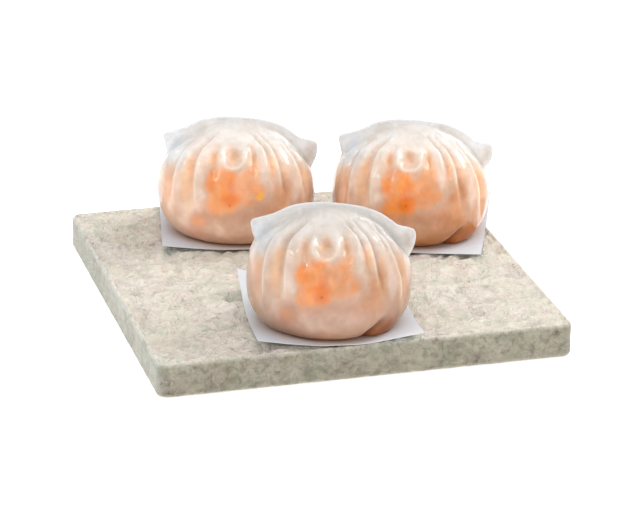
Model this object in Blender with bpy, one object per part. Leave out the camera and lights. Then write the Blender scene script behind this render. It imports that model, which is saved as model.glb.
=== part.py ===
"""Three har gow dumplings, each on a square of greaseproof paper, served on a stone slab.

Metres, +Z up. The origin is the middle of the slab's underside, and -Y is the front.
Run with: blender --background --python part.py
"""
import math

import bmesh
import bpy
import numpy as np
from mathutils import Matrix

MM = 0.001

# Slab of rough stone, mm
SLAB_SIDE = 120.0
SLAB_THICKNESS = 10.0
SLAB_CORNER_RADIUS = 2.4
SLAB_EDGE_ROUND = 1.0
SLAB_EDGE_WAVE = 0.22
SLAB_SIDE_STEPS = 11

# Paper squares, mm
PAPER_SIDE = 46.5
PAPER_THICKNESS = 0.25
PAPER_STEPS = 8
PAPER_FLAT_SHARE = 0.22
PAPER_CURL_POWER = 1.3
REST_GAP = 0.3

# Dumpling, mm: x runs along the crest, -y is the pleated side, z is up
HALF_WIDTH = 23.2
FRONT_DEPTH = 21.3
BACK_DEPTH = 20.3
BELLY_HEIGHT = 11.5
PATCH_HALF_WIDTH = 16.6
PATCH_FRONT = 15.4
PATCH_BACK = 13.6
SEAM_HEIGHT = 32.4
LEFT_NOTCH = (-20.6, 22.4)
RIGHT_NOTCH = (22.0, 18.4)
SHOULDER_FULLNESS = 2.12
SHOULDER_SWEEP = math.radians(70.0)
CREST_FOOT_HALF_THICKNESS = 1.2
CREST_EDGE_HALF_THICKNESS = 0.4
CREST_BEND = 1.1
CREASE_START = 2.7
CREASE_END = 3.5

# Edge of the crest from the left notch, over both wing tips, to the right notch: x and z
CREST_EDGE = (
    (-20.8, 23.0), (-21.6, 26.0), (-22.0, 28.4), (-21.3, 29.6), (-18.0, 30.75), (-15.0, 31.9),
    (-12.0, 33.5), (-8.8, 34.5), (-4.5, 34.9), (0.3, 34.6), (5.1, 33.9), (9.8, 32.9),
    (14.0, 31.3), (17.3, 29.2), (19.0, 28.0), (21.9, 27.45), (23.6, 26.8), (24.1, 25.2),
    (23.7, 22.2), (22.3, 18.9),
)

# Folds between the pleats: place round the belly (-1 left end, 1 right end), place on the
# crest in mm, depth in mm, the level where the fold fades out on its way down, how late it
# sweeps in towards the crest (1 is straight seen from above), and its half width as a place
FOLDS = (
    (-0.64, -13.5, 1.0, 1.65, 1.4, 0.050),
    (-0.415, -6.6, 1.7, 1.75, 2.0, 0.050),
    (-0.195, -2.2, 1.4, 2.2, 2.4, 0.038),
    (0.15, -0.3, 1.4, 2.25, 2.4, 0.036),
    (0.32, 1.7, 1.1, 2.1, 1.9, 0.034),
    (0.445, 5.0, 1.2, 1.9, 1.25, 0.038),
    (0.635, 9.2, 0.6, 2.3, 0.95, 0.028),
    (0.725, 12.8, 1.2, 1.6, 0.95, 0.040),
)

# The middle pleat is pinched into an open loop
LOOP_CENTRE = (-1.0, 8.5)
LOOP_RADIUS = 3.3
LOOP_RISE = 0.9
LOOP_HALF_WIDTH = 1.15
LOOP_DIMPLE = 1.3

# Lap of skin tucked under at the front right
LAP_FOOT = (7.5, 0.0)
LAP_TOP = (13.4, 5.6)
LAP_DEPTH = 1.6

# Rings of points on the dumpling. Levels 0 to 1 are the patch it sits on, 1 to 2 the rise
# to the belly, 2 to 3 the shoulder up to the crest's foot and 3 to 4 the crest itself
RING_LEVELS = (
    1.0, 1.3, 1.65, 2.0, 2.18, 2.3, 2.37, 2.41, 2.45, 2.49, 2.53, 2.58, 2.63, 2.68, 2.74, 2.81,
    2.88, 2.95, 3.03, 3.15, 3.4, 3.7, 4.0,
)
BACK_COLUMNS = 16

# name, x, y, turn in degrees, width share, height share
DUMPLINGS = (
    ("dumpling_front", -6.2, -40.2, -16.0, 1.0, 1.0),
    ("dumpling_left", -13.7, 35.9, -15.0, 0.995, 1.0),
    ("dumpling_right", 36.6, 21.6, -16.5, 1.0, 0.99),
)

# name, x, y, turn in degrees, lift of the front left, front right, back right, back left corner
PAPERS = (
    ("paper_front", -5.1, -36.3, -7.0, (2.6, 2.5, 1.5, 5.5)),
    ("paper_left", -12.6, 39.9, -11.5, (2.1, 0.8, 1.2, 3.0)),
    ("paper_right", 36.9, 24.9, -21.5, (1.0, 0.4, 3.2, 1.5)),
)


def blend(start, end, share):
    return start + (end - start) * share


def ease(value):
    value = np.clip(value, 0.0, 1.0)
    return value * value * (3.0 - 2.0 * value)


def bell(distance, half_width):
    return np.exp(-((distance / half_width) ** 2))


# ---------------------------------------------------------------- materials and objects

def linear(channel):
    if channel <= 0.04045:
        return channel / 12.92
    return ((channel + 0.055) / 1.055) ** 2.4


def make_material(name, colour, roughness):
    material = bpy.data.materials.new(name)
    material.use_nodes = True
    shader = material.node_tree.nodes["Principled BSDF"]
    parts = [int(colour[i:i + 2], 16) / 255.0 for i in (0, 2, 4)]
    shader.inputs["Base Color"].default_value = (*[linear(part) for part in parts], 1.0)
    shader.inputs["Roughness"].default_value = roughness
    shader.inputs["Metallic"].default_value = 0.0
    return material


def add_object(name, mesh_builder, material, place, turn_degrees):
    """Put a closed bmesh, built in millimetres, into the scene as one object."""
    mesh_builder.transform(Matrix.Diagonal((MM, MM, MM, 1.0)))
    bmesh.ops.recalc_face_normals(mesh_builder, faces=mesh_builder.faces)
    mesh = bpy.data.meshes.new(name)
    mesh_builder.to_mesh(mesh)
    mesh_builder.free()
    mesh.shade_smooth()
    mesh.set_sharp_from_angle(angle=math.radians(60.0))
    mesh.materials.append(material)
    piece = bpy.data.objects.new(name, mesh)
    piece.location = [value * MM for value in place]
    piece.rotation_euler = (0.0, 0.0, math.radians(turn_degrees))
    bpy.context.collection.objects.link(piece)
    return piece


def add_ring(mesh_builder, points):
    return [mesh_builder.verts.new(point) for point in points]


def skin_rings(mesh_builder, lower, upper):
    """Faces between two closed rings that have as many points as each other."""
    for index in range(len(lower)):
        following = (index + 1) % len(lower)
        mesh_builder.faces.new(
            (lower[index], lower[following], upper[following], upper[index]))


# ---------------------------------------------------------------- slab

def slab_outline(inset, wave_phase):
    """Rounded square with a hewn, slightly wavy edge, counter-clockwise."""
    half = SLAB_SIDE / 2.0 - SLAB_EDGE_WAVE
    straight = half - SLAB_CORNER_RADIUS
    points = []
    for side in range(4):
        turn = side * math.pi / 2.0
        for step in range(SLAB_SIDE_STEPS):
            along = blend(-straight, straight, step / SLAB_SIDE_STEPS)
            wave = SLAB_EDGE_WAVE * math.sin(1.7 * side + wave_phase + along * 0.19)
            points.append((along, -(half - inset + wave), turn))
        for step in range(3):
            angle = -math.pi / 2.0 + step * math.pi / 6.0
            radius = SLAB_CORNER_RADIUS - inset
            corner_x = straight + radius * math.cos(angle)
            corner_y = -straight + radius * math.sin(angle)
            points.append((corner_x, corner_y, turn))
    return [
        (x * math.cos(turn) - y * math.sin(turn), x * math.sin(turn) + y * math.cos(turn))
        for x, y, turn in points
    ]


def build_slab(material):
    mesh_builder = bmesh.new()
    rings = []
    profile = (
        (SLAB_EDGE_ROUND * 0.8, 0.0, 0.0),
        (0.0, SLAB_EDGE_ROUND * 0.8, 0.0),
        (0.0, SLAB_THICKNESS - SLAB_EDGE_ROUND, 0.9),
        (SLAB_EDGE_ROUND * 0.3, SLAB_THICKNESS - SLAB_EDGE_ROUND * 0.3, 0.9),
        (SLAB_EDGE_ROUND, SLAB_THICKNESS, 0.9),
    )
    for inset, height, wave_phase in profile:
        outline = slab_outline(inset, wave_phase)
        rings.append(add_ring(mesh_builder, [(x, y, height) for x, y in outline]))
    for lower, upper in zip(rings, rings[1:]):
        skin_rings(mesh_builder, lower, upper)
    mesh_builder.faces.new(reversed(rings[0]))
    mesh_builder.faces.new(rings[-1])
    return add_object("stone_slab", mesh_builder, material, (0.0, 0.0, 0.0), 0.0)


# ---------------------------------------------------------------- paper

def paper_lift(u, v, corner_lifts):
    """Height of the curled sheet at u, v, which run from -1 to 1 over the square."""
    front_left, front_right, back_right, back_left = corner_lifts
    if v < 0.0:
        corner = front_left if u < 0.0 else front_right
    else:
        corner = back_left if u < 0.0 else back_right
    share = (abs(u * v) - PAPER_FLAT_SHARE) / (1.0 - PAPER_FLAT_SHARE)
    return corner * max(share, 0.0) ** PAPER_CURL_POWER


def build_paper(name, x, y, turn, corner_lifts, material):
    mesh_builder = bmesh.new()
    half = PAPER_SIDE / 2.0
    steps = np.linspace(-1.0, 1.0, PAPER_STEPS + 1)
    layers = []
    for height in (0.0, PAPER_THICKNESS):
        layers.append([
            add_ring(mesh_builder, [
                (u * half, v * half, height + paper_lift(u, v, corner_lifts)) for u in steps])
            for v in steps])
    for layer in layers:
        for row, next_row in zip(layer, layer[1:]):
            for index in range(PAPER_STEPS):
                mesh_builder.faces.new(
                    (row[index], row[index + 1], next_row[index + 1], next_row[index]))
    rims = []
    for layer in layers:
        rim = list(layer[0])
        rim += [row[-1] for row in layer[1:]]
        rim += list(reversed(layer[-1][:-1]))
        rim += [row[0] for row in reversed(layer[1:-1])]
        rims.append(rim)
    skin_rings(mesh_builder, rims[0], rims[1])
    place = (x, y, SLAB_THICKNESS + REST_GAP)
    return add_object(name, mesh_builder, material, place, turn)


# ---------------------------------------------------------------- dumpling

def seam_height(x):
    """Height of the crest's foot, which falls from the middle to a notch at each end."""
    if x < 0.0:
        notch_x, notch_z = LEFT_NOTCH
        fall = 0.65
    else:
        notch_x, notch_z = RIGHT_NOTCH
        fall = 0.85
    share = max(1.0 - (x / notch_x) ** 2, 0.0)
    return blend(notch_z, SEAM_HEIGHT, share ** fall)


def smooth_curve(points, steps_each):
    """Points on a smooth curve through the given ones (Catmull-Rom)."""
    points = np.array(points)
    padded = np.vstack([2 * points[0] - points[1], points, 2 * points[-1] - points[-2]])
    curve = []
    for index in range(len(points) - 1):
        before, start, end, after = padded[index:index + 4]
        for step in range(steps_each):
            t = step / steps_each
            curve.append(0.5 * (
                2 * start + (end - before) * t
                + (2 * before - 5 * start + 4 * end - after) * t ** 2
                + (3 * start - 3 * end + after - before) * t ** 3))
    curve.append(points[-1])
    return np.array(curve)


def length_share(curve):
    """How far along its length each point of a curve lies, from 0 to 1."""
    lengths = np.hypot(*np.diff(curve, axis=0).T)
    travelled = np.concatenate([[0.0], np.cumsum(lengths)])
    return travelled / travelled[-1]


CREST_CURVE = smooth_curve(CREST_EDGE, 8)
CREST_SHARE = length_share(CREST_CURVE)
PLACE_CURVE = smooth_curve(
    [(-1.0, LEFT_NOTCH[0])] + [(fold[0], fold[1]) for fold in FOLDS]
    + [(1.0, RIGHT_NOTCH[0])], 10)
SWEEP_CURVE = smooth_curve(
    [(-1.0, 1.0)] + [(fold[0], fold[4]) for fold in FOLDS] + [(1.0, 1.0)], 10)
FOOT_CURVE = np.array([
    (x, seam_height(x)) for x in np.linspace(LEFT_NOTCH[0], RIGHT_NOTCH[0], 241)])
FOOT_SHARE = length_share(FOOT_CURVE)


def crest_place(along):
    """Where a column of the skin meets the crest, from its place round the belly."""
    return float(np.interp(along, PLACE_CURVE[:, 0], PLACE_CURVE[:, 1]))


def sweep_power(along):
    return float(np.interp(along, SWEEP_CURVE[:, 0], SWEEP_CURVE[:, 1]))


def crest_edge_point(foot_x):
    """Point of the crest's edge that lies as far along it as foot_x lies along the foot."""
    share = np.interp(foot_x, FOOT_CURVE[:, 0], FOOT_SHARE)
    return (
        np.interp(share, CREST_SHARE, CREST_CURVE[:, 0]),
        np.interp(share, CREST_SHARE, CREST_CURVE[:, 1]),
    )


def creased_point(along, side, level):
    """Point of the plain skin with a sharp crease between the shoulder and the crest."""
    across = side * math.cos(along * math.pi / 2.0)
    outward = math.sin(along * math.pi / 2.0)
    front_share = (1.0 - across) / 2.0
    patch_depth = blend(PATCH_BACK, PATCH_FRONT, front_share)
    belly_depth = blend(BACK_DEPTH, FRONT_DEPTH, front_share)
    patch = np.array((PATCH_HALF_WIDTH * outward, patch_depth * across, 0.0))
    belly = np.array((HALF_WIDTH * outward, belly_depth * across, BELLY_HEIGHT))
    foot_x = crest_place(along)
    wall = 0.0 if abs(along) >= 1.0 else side
    foot = np.array((foot_x, wall * CREST_FOOT_HALF_THICKNESS, seam_height(foot_x)))
    if level <= 1.0:
        point = patch * level
    elif level <= 2.0:
        angle = (level - 1.0) * math.pi / 2.0
        point = blend(patch, belly, math.sin(angle))
        point[2] = BELLY_HEIGHT * (1.0 - math.cos(angle))
    elif level <= 3.0:
        angle = (level - 2.0) * SHOULDER_SWEEP
        power = 2.0 / SHOULDER_FULLNESS
        inward = 1.0 - math.cos(angle) ** power
        upward = math.sin(angle) ** power
        inward /= 1.0 - math.cos(SHOULDER_SWEEP) ** power
        upward /= math.sin(SHOULDER_SWEEP) ** power
        point = blend(belly, foot, inward)
        if side < 0:
            point[0] = blend(belly[0], foot[0], inward ** sweep_power(along))
        point[2] = blend(belly[2], foot[2], upward)
    else:
        edge_x, edge_z = crest_edge_point(foot_x)
        edge = np.array((edge_x, wall * CREST_EDGE_HALF_THICKNESS, edge_z))
        point = blend(foot, edge, level - 3.0)
        point[1] = blend(edge[1], foot[1], (4.0 - level) ** 2)
    return point


def skin_point(along, side, level):
    """Point of the plain skin, before the pleats: side is -1 in front and 1 behind."""
    if CREASE_START < level < CREASE_END:
        share = (level - CREASE_START) / (CREASE_END - CREASE_START)
        lower = creased_point(along, side, CREASE_START)
        crease = creased_point(along, side, 3.0)
        upper = creased_point(along, side, CREASE_END)
        point = blend(blend(lower, crease, share), blend(crease, upper, share), share)
    else:
        point = creased_point(along, side, level)
    bend_share = ease((point[2] - 0.5 * SEAM_HEIGHT) / (0.5 * SEAM_HEIGHT))
    point[1] += CREST_BEND * bend_share * math.sin(math.pi * point[0] / HALF_WIDTH)
    return point


def skin_normal(along, side, level):
    step = 0.004
    low_level = max(level - step, 0.02)
    left = skin_point(along - step, side, level)
    right = skin_point(along + step, side, level)
    below = skin_point(along, side, low_level)
    above = skin_point(along, side, level + step)
    normal = np.cross(right - left, above - below) * -side
    return normal / max(np.linalg.norm(normal), 1e-9)


def fold_height(along, level):
    height = 0.0
    for place, _, depth, fade_level, _, half_width in FOLDS:
        strength = ease((level - fade_level) / 0.5)
        strength *= 1.0 - 0.7 * ease((level - 2.6) / 0.35) - 0.3 * ease((level - 3.0) / 0.3)
        height -= depth * strength * bell(along - place, half_width)
    return height


def loop_height(point):
    """Raised open loop with a dimple, measured on a plane that leans back by 45 degrees."""
    up_slope = (point[1] + point[2]) / math.sqrt(2.0)
    x = point[0] - LOOP_CENTRE[0]
    y = up_slope - LOOP_CENTRE[1]
    if y > 0.0:
        distance = abs(abs(x) - LOOP_RADIUS)
    else:
        distance = abs(math.hypot(x, y) - LOOP_RADIUS)
    fade = 1.0 - ease((y - 2.0) / 4.0)
    ridge = LOOP_RISE * bell(distance, LOOP_HALF_WIDTH) * fade
    dimple = LOOP_DIMPLE * bell(math.hypot(x, 0.7 * (y - 1.5)), 1.9)
    return ridge - dimple


def lap_height(point):
    """Step down to the right of the lap's edge, which rises from the paper."""
    edge = np.array(LAP_TOP) - np.array(LAP_FOOT)
    length = np.linalg.norm(edge)
    offset = np.array((point[0], point[2])) - np.array(LAP_FOOT)
    past_edge = (offset[0] * edge[1] - offset[1] * edge[0]) / length
    rise = np.dot(offset, edge) / length
    strength = ease(past_edge / 1.4) * (1.0 - ease((rise - 0.8 * length) / 6.0))
    return -LAP_DEPTH * strength * (1.0 - ease((point[0] - 14.0) / 8.0))


def pleated_point(along, side, level):
    point = skin_point(along, side, level)
    if side > 0 or level <= 0.0 or level >= 4.0:
        return point
    height = fold_height(along, level) + loop_height(point)
    if level > 1.0:
        height += lap_height(point)
    moved = point + skin_normal(along, side, level) * height
    if level <= 1.0:
        moved[2] = 0.0
    moved[2] = max(moved[2], 0.0)
    return moved


def front_columns():
    """Places round the belly: three columns in each fold, more over the pinched loop."""
    places = [-0.91, -0.8]
    for index, fold in enumerate(FOLDS):
        spread = 1.15 * fold[5]
        places += [fold[0] - spread, fold[0], fold[0] + spread]
        if index + 1 < len(FOLDS):
            next_place = FOLDS[index + 1][0]
            next_spread = 1.15 * FOLDS[index + 1][5]
            count = 9 if fold[0] < 0.0 < next_place else 1
            for step in range(count):
                share = (step + 1) / (count + 1)
                places.append(blend(fold[0] + spread, next_place - next_spread, share))
    places += [0.78, 0.86, 0.94]
    return places


def close_crest(mesh_builder, front, back, first, last):
    """Narrow strip over the crest's edge between its front and back rows of points."""
    front_row = [first] + front + [last]
    back_row = [first] + back + [last]
    i = 0
    j = 0
    while i < len(front_row) - 1 or j < len(back_row) - 1:
        step_front = j == len(back_row) - 1
        if not step_front and i < len(front_row) - 1:
            front_gap = (front_row[i + 1].co - back_row[j].co).length
            back_gap = (back_row[j + 1].co - front_row[i].co).length
            step_front = front_gap <= back_gap
        if step_front:
            corners = (front_row[i], front_row[i + 1], back_row[j])
            i += 1
        else:
            corners = (front_row[i], back_row[j + 1], back_row[j])
            j += 1
        if len(set(corners)) == 3:
            mesh_builder.faces.new(corners)


def build_dumpling(name, x, y, turn, width_share, height_share, material):
    mesh_builder = bmesh.new()
    columns = [(-1.0, -1)] + [(place, -1) for place in front_columns()] + [(1.0, -1)]
    last_front = len(columns) - 1
    back_places = np.linspace(1.0, -1.0, BACK_COLUMNS + 2)[1:-1]
    columns += [(place, 1) for place in back_places]
    rings = [
        add_ring(mesh_builder, [pleated_point(along, side, level) for along, side in columns])
        for level in RING_LEVELS]
    for lower, upper in zip(rings, rings[1:]):
        skin_rings(mesh_builder, lower, upper)
    pole = mesh_builder.verts.new((0.0, 0.0, 0.0))
    for index, corner in enumerate(rings[0]):
        following = rings[0][(index + 1) % len(rings[0])]
        mesh_builder.faces.new((pole, following, corner))
    top = rings[-1]
    close_crest(
        mesh_builder, top[1:last_front], list(reversed(top[last_front + 1:])),
        top[0], top[last_front])
    for corner in mesh_builder.verts:
        corner.co.x *= width_share
        corner.co.y *= width_share
        corner.co.z *= height_share
    place = (x, y, SLAB_THICKNESS + PAPER_THICKNESS + 2.0 * REST_GAP)
    return add_object(name, mesh_builder, material, place, turn)


def main():
    for old in list(bpy.data.objects):
        bpy.data.objects.remove(old, do_unlink=True)
    stone = make_material("pale limestone, sawn and tumbled", "CFC8BE", 0.8)
    paper = make_material("white greaseproof paper", "E8E6EA", 0.65)
    skin = make_material("steamed wheat starch skin over prawn", "EAC3A4", 0.3)
    build_slab(stone)
    for settings in PAPERS:
        build_paper(*settings, paper)
    for settings in DUMPLINGS:
        build_dumpling(*settings, skin)


main()
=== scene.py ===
import math

import bpy
import numpy as np
from mathutils import Matrix, Vector, noise


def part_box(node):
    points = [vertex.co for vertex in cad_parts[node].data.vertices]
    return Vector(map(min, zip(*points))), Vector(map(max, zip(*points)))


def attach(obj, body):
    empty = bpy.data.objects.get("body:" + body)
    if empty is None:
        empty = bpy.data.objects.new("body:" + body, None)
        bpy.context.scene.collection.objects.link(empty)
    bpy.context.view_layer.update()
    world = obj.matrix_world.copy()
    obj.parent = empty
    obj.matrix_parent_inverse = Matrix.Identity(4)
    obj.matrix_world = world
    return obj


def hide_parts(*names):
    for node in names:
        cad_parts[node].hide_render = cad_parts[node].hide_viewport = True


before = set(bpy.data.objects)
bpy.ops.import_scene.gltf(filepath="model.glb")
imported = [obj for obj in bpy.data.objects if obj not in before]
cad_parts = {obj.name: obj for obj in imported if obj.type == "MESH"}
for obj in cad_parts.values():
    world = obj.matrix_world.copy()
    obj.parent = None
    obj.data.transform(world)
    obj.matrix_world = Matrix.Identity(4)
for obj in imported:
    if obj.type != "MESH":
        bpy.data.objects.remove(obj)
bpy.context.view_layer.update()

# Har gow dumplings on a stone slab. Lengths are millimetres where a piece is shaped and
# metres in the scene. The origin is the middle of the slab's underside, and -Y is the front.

MM = 0.001
TINY = 1e-9  # keeps a division by a length from failing
NEARLY = 1e-6  # how far two places may differ and still count as the same

# ---- camera and light

# A long lens from the front, a little to the left and above
CAMERA_AZIMUTH = math.radians(-15.52)
CAMERA_ELEVATION = math.radians(21.65)
CAMERA_ROLL = math.radians(0.44)
CAMERA_TARGET = Vector((0.0034, 0.0042, 0.01248))
CAMERA_DISTANCE = 0.99408
CAMERA_LENS = 190.3
CAMERA_SENSOR = 36.0
CAMERA_NEAR = 0.05

# A key from the back right, soft fill from above and in front, and two narrow strips that draw
# wet lines on the folds: name, place and sides in metres, energy in watts, colour
SOFTBOXES = (
    ("overhead_softbox", (0.10, 0.20, 0.85), (0.90, 0.90), 1.3, (1.0, 0.995, 0.985)),
    ("key_softbox", (0.56, 0.12, 0.52), (0.34, 0.34), 2.15, (1.0, 0.99, 0.975)),
    ("front_softbox", (-0.40, -1.30, 0.75), (0.80, 0.80), 2.4, (1.0, 0.99, 0.98)),
    ("top_strip", (-0.22, -0.36, 0.86), (0.40, 0.06), 0.8, (1.0, 0.995, 0.985)),
    ("left_strip", (-0.62, -0.16, 0.60), (0.06, 0.30), 0.8, (0.98, 0.99, 1.0)),
)
WORLD_STRENGTH = 0.67
FLOOR_SIDE = 6.0

# ---- slab, mm

# Cells along each side, and how much they crowd towards its ends
SLAB_CELLS = (196, 196, 16)
SLAB_CELL_CROWDING = 0.7
SLAB_CORNER_RADIUS = 3.2
SLAB_EDGE_RADIUS = 1.1
# Relief of the hewn faces: seed, how far across its lumps are, how high or deep they are
SWELL_SEED, SWELL_SIZE, SWELL_HEIGHT = 1.0, 14.0, 0.10
DENT_SEED, DENT_SIZE, DENT_DEPTH = 2.0, 5.0, 1.9
CHIP_SEED, CHIP_SIZE, CHIP_DEPTH = 4.0, 1.9, 0.18
NICK_SEED, NICK_SIZE = 6.0, 2.6
# Only the highest part of the chips' relief bites into an edge
CHIP_START = 0.2
# The brows left between the dents, and how much less the sides are dented than the top
BROW_HEIGHT = 0.12
BROW_LIMIT = 0.14
WALL_CALM = 0.90
# Where the stone's paint begins and where it is full, on the relief that it follows: a painted
# highlight on the brows and the rounded edges, and painted shade in the dents
BROW_HIGHLIGHT_PAINT = (0.09, 0.0)
DENT_SHADE_PAINT = (0.22, 0.47)
EDGE_HIGHLIGHT_PAINT = (-0.55, -0.15)

# ---- papers, mm

PAPER_SIDE = 46.5
PAPER_THICKNESS = 0.12
PAPER_CELLS = 60
# The corners curl: how much of the way to them stays flat, and how late the curl sets in
PAPER_FLAT_SHARE = 0.22
PAPER_CURL_POWER = 1.3
# The rims wave a little: seed, size of the waves, their height, how close to the rim they stay
PAPER_WAVE_SEED, PAPER_WAVE_SIZE, PAPER_WAVE_HEIGHT, PAPER_WAVE_POWER = 2.0, 14.0, 0.16, 3
PAPER_SHARP_ANGLE = math.radians(50.0)
# The ring of warm painted shade round a dumpling's base, as shares of the base's half width
BASE_SHADE_EDGE = (1.0, 1.42)
BASE_SHADE_STRENGTH = 0.75

# node, turn in degrees, lift of the front left, front right, back right, back left corner
PAPERS = (
    ("paper_front", -7.0, (2.6, 2.5, 1.5, 5.5)),
    ("paper_left", -11.5, (1.6, 0.4, 1.2, 3.0)),
    ("paper_right", -21.5, (1.0, 0.4, 3.2, 1.5)),
)

# ---- dumplings, mm

# x runs along the crest, -y is the pleated side and z is up. A level says how far up the skin
# a place is: 0 is the middle of the base, and these are the rims of its four zones
PATCH_LEVEL, BELLY_LEVEL, SEAM_LEVEL, EDGE_LEVEL = 1.0, 2.0, 3.0, 4.0

HALF_WIDTH = 23.2
FRONT_DEPTH = 21.3
BACK_DEPTH = 20.3
BELLY_HEIGHT = 11.5
PATCH_HALF_WIDTH = 16.6
PATCH_FRONT = 15.4
PATCH_BACK = 13.6
SEAM_HEIGHT = 32.4
SEAM_LEFT_POWER, SEAM_RIGHT_POWER = 0.65, 0.85
LEFT_NOTCH = (-20.6, 22.4)
RIGHT_NOTCH = (22.0, 18.4)
SHOULDER_FULLNESS = 2.12
SHOULDER_SWEEP = math.radians(70.0)
CREST_FOOT_HALF_THICKNESS = 1.2
CREST_EDGE_HALF_THICKNESS = 0.4
CREST_END_SQUARENESS = 24
CREST_BEND = 1.1
CREASE_START = 2.7
CREASE_END = 3.5

# Edge of the crest from the left notch, over both wing tips, to the right notch: x and z
CREST_EDGE = (
    (-20.8, 23.0), (-21.6, 26.0), (-22.0, 28.4), (-21.3, 29.6), (-18.0, 30.75), (-15.0, 31.9),
    (-12.0, 33.5), (-8.8, 34.5), (-4.5, 34.9), (0.3, 34.6), (5.1, 33.9), (9.8, 32.9),
    (14.0, 31.3), (17.3, 29.2), (19.0, 28.0), (21.9, 27.45), (23.6, 26.8), (24.1, 25.2),
    (23.7, 22.2), (22.3, 18.9),
)

# Folds between the pleats: place round the belly (-1 left end, 1 right end), place on the
# crest in mm, depth in mm, level of its foot, how late it sweeps in towards the crest (1 is
# straight seen from above), half width as a place round the belly, level of its top
FOLDS = (
    (-0.64, -9.0, 1.0, 1.65, 1.6, 0.050, 3.10),
    (-0.415, -3.6, 1.7, 1.75, 2.0, 0.050, 3.12),
    (-0.195, -1.6, 1.4, 2.2, 2.4, 0.038, 2.86),
    (0.15, -0.3, 1.4, 2.25, 2.4, 0.036, 2.84),
    (0.32, 1.2, 1.1, 2.1, 1.9, 0.034, 3.08),
    (0.445, 3.6, 1.2, 1.9, 1.4, 0.038, 3.12),
    (0.635, 7.2, 0.8, 2.2, 1.05, 0.030, 3.12),
    (0.725, 10.6, 1.2, 1.6, 1.05, 0.040, 3.12),
)

# Levels over which a fold opens above its foot, closes at its top, and turns shallower
FOLD_OPENING = 0.5
FOLD_CLOSING = 0.3
FOLD_SHALLOWS = (2.5, 3.0)
FOLD_SHALLOW_LOSS = 0.45
# The lip beside a fold: its place from the fold, half width as a place, rise in mm and the
# levels above the fold's foot where it begins and is full
LIP_OFFSET = 0.052
LIP_HALF_WIDTH = 0.027
LIP_RISE = 0.34
LIP_START, LIP_FULL = 0.25, 0.5

# The open loop in the middle, on a plane that leans back by 45 degrees
LOOP_CENTRE = (-1.0, 8.5)
LOOP_RADIUS = 3.3
LOOP_RISE = 0.60
LOOP_HALF_WIDTH = 0.80
LOOP_FADE = (1.0, 4.6)
DIMPLE_DEPTH = 0.7
DIMPLE_RAISE = 1.5
DIMPLE_FLATNESS = 0.7
DIMPLE_HALF_WIDTH = 1.9

# The lap at the right: the ends of its edge (x and z), and how deep and how soon it steps back
LAP_FOOT = (7.5, 0.0)
LAP_TOP = (13.4, 5.6)
LAP_DEPTH = 1.5
LAP_STEP = 0.8
LAP_FADE_UP = (-1.6, 4.4)
LAP_FADE_RIGHT = (14.0, 22.0)
# The foot past the lap comes out towards the paper between these x and below this level
TUCK_LEFT = (11.5, 16.0)
TUCK_RIGHT = (19.0, 23.0)
TUCK_LEVELS = (PATCH_LEVEL, 1.75)
TUCK_FILL = 0.55

# Unevenness of the skin: lump sizes and heights in mm, and the levels where it grows and fades
SKIN_SWELL_SIZE, SKIN_SWELL_HEIGHT = 9.0, 0.22
PUCKER_SIZE, PUCKER_HEIGHT, PUCKER_STRETCH = 2.6, 0.10, (1.0, 1.0, 0.45)
PUCKER_SEED_STEP = 2.0
UNEVEN_FOOT = (PATCH_LEVEL, 1.4)
UNEVEN_TOP = (2.8, 3.3)
UNEVEN_TOP_LOSS = 0.8
RELIEF_END = (3.9, EDGE_LEVEL)
# The fuller left of the belly: how far left it begins and is full, and half its height in mm
BULGE_LEFT = (8.0, 20.0)
BULGE_HALF_HEIGHT = 9.0

# The skin's grid: points on half a ring, rings up to the crest's edge, the angles of the rings
# that close it with a half round rim, the levels over which the crest is drawn in for that rim,
# the rows that give its slope, and how close points are when they are welded
COLUMNS = 192
ROWS = 140
RIM_ANGLES = (25.0, 50.0, 72.0, 90.0)
RIM_LEVELS = (3.5, EDGE_LEVEL)
RIM_SLOPE_ROWS = 11
WELD_REACH = 0.004

# node, turn in degrees, width share, height share, how far the left of the belly bulges in mm,
# strength of the amber speck, seed of its small unevenness
DUMPLINGS = (
    ("dumpling_front", -16.0, 1.0, 1.0, 0.0, 0.0, 3.0),
    ("dumpling_left", -15.0, 0.995, 1.0, 1.0, 1.0, 11.0),
    ("dumpling_right", -16.5, 1.0, 0.99, 0.7, 0.0, 23.0),
)
# node: its skin's name, saturation high up and at the foot, paleness and its gain at the foot;
# on the rear dumplings both are painted light that makes up for the light they get less of
SKINS = {
    "dumpling_front": ("steamed_starch_skin_over_prawn", 0.98, 0.98, 1.0, 1.0),
    "dumpling_left": ("steamed_starch_skin_over_prawn_painted_lighter", 0.98, 0.97, 1.16, 1.36),
    "dumpling_right": ("thin_steamed_starch_skin_over_prawn_painted_lighter", 1.03, 1.30, 1.15, 1.10),
}
# Where the middle of a dumpling's base lies in its node's box, as a share of each side
BASE_CENTRE_SHARE = np.array((0.5, 0.511))


def blend(start, end, share):
    return start + (end - start) * share


def ease(value, start, end):
    """0 at the start, 1 at the end and a soft S between them."""
    share = np.clip((value - start) / (end - start), 0.0, 1.0)
    return share * share * (3.0 - 2.0 * share)


def bell(distance, half_width):
    """1 at no distance, falling softly to a third at the half width."""
    return np.exp(-((distance / half_width) ** 2))


# ---- materials

# Sockets of a Mix node that mixes colours
MIX_SHARE, MIX_A, MIX_B, MIX_RESULT = 0, 6, 7, 2


def linear_rgb(hex_colour):
    """sRGB hex to the linear colour that a shader takes."""
    parts = [int(hex_colour[i:i + 2], 16) / 255.0 for i in (0, 2, 4)]
    linear = [p / 12.92 if p <= 0.04045 else ((p + 0.055) / 1.055) ** 2.4 for p in parts]
    return (*linear, 1.0)


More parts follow.
